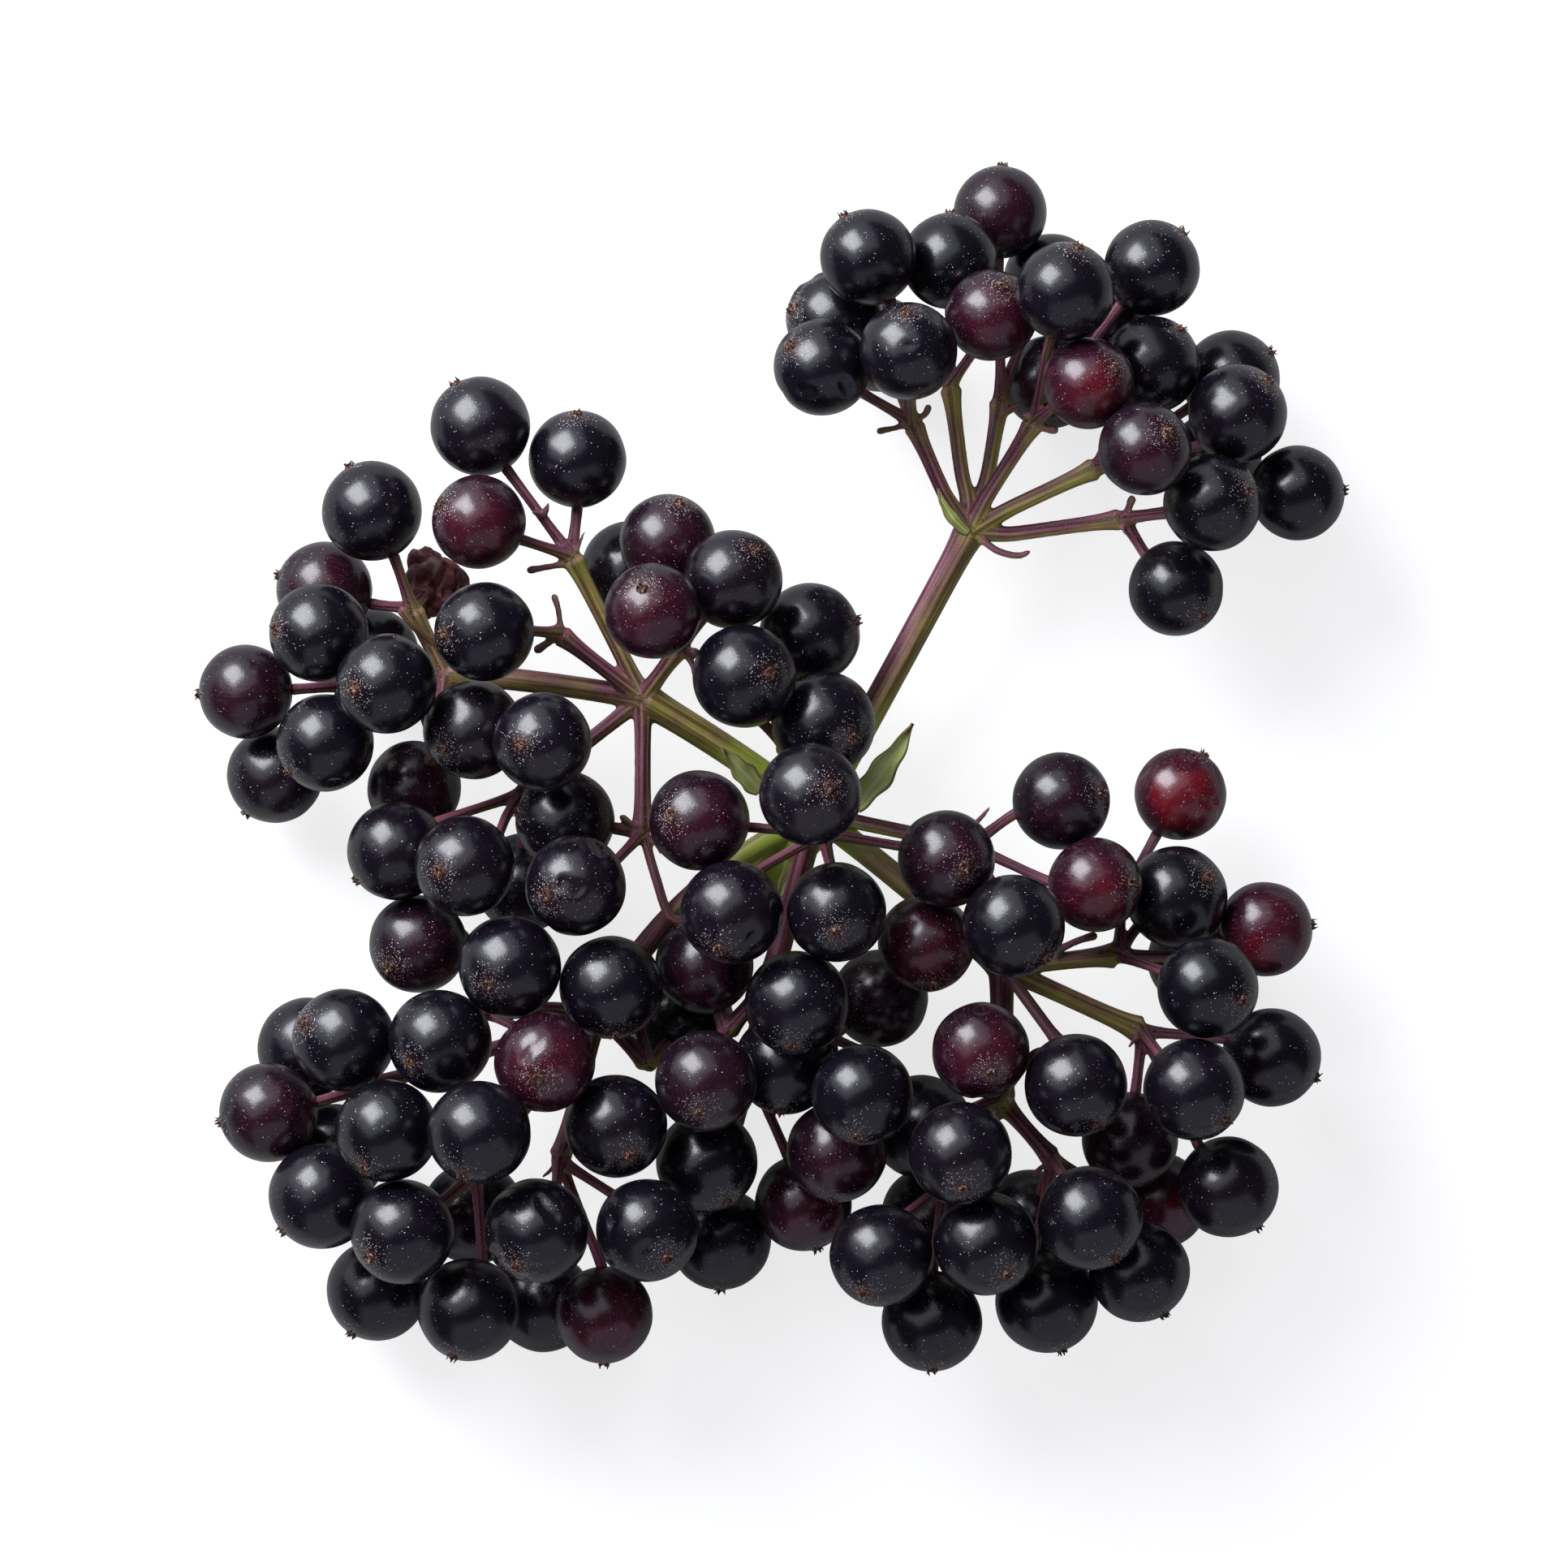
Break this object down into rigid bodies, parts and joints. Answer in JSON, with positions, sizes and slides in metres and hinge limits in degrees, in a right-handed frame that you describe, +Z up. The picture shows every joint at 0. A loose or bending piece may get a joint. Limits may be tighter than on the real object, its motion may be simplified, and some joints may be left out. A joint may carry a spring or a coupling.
{
  "type": "bunch of elderberries",
  "caption": "Picked bunch of ripe elderberries lying on its back: round black and wine-red berries on forking purple-green stems with a short cut peduncle.",
  "frame": {"origin": "on the surface that the bunch lies on, below the middle of its box", "axes": "+Z up, away from the surface, the way the berries face; +Y towards the loose top cluster; +X towards the right-hand sprays"},
  "size_m": [0.0888, 0.094, 0.0308],
  "materials": {
    "berry_skin": "thin blue-black to wine-red fruit skin, satin gloss with a fine dusty bloom",
    "stem": "fresh ribbed stem, purple on one side and green on the other",
    "leaf": "thin fresh green bract, browned at its edge"
  },
  "bodies": {
    "root": {"far_left_ray": "stem", "far_left_spray_1": "berry_skin", "far_left_spray_2": "berry_skin", "far_left_spray_3": "berry_skin", "leaf_bract": "leaf", "left_ray": "stem", "left_spray_1": "berry_skin", "left_spray_2": "berry_skin", "left_spray_3": "berry_skin", "left_spray_4": "berry_skin", "left_spray_5": "berry_skin", "lower_left_ray": "stem", "lower_left_spray_1": "berry_skin", "lower_left_spray_2": "berry_skin", "lower_left_spray_3": "berry_skin", "lower_left_spray_4": "berry_skin", "lower_left_spray_5": "berry_skin", "lower_ray": "stem", "lower_right_ray": "stem", "lower_right_spray_1": "berry_skin", "lower_right_spray_2": "berry_skin", "lower_right_spray_3": "berry_skin", "lower_spray_1": "berry_skin", "lower_spray_2": "berry_skin", "lower_spray_3": "berry_skin", "middle_spray_1": "berry_skin", "middle_spray_2": "berry_skin", "middle_spray_3": "berry_skin", "peduncle": "stem", "right_ray": "stem", "right_spray_1": "berry_skin", "right_spray_2": "berry_skin", "small_bract": "leaf", "top_ray": "stem", "top_spray_1": "berry_skin", "top_spray_2": "berry_skin", "top_spray_3": "berry_skin", "top_spray_4": "berry_skin", "top_spray_5": "berry_skin", "top_spray_6": "berry_skin"}
  },
  "joints": []
}
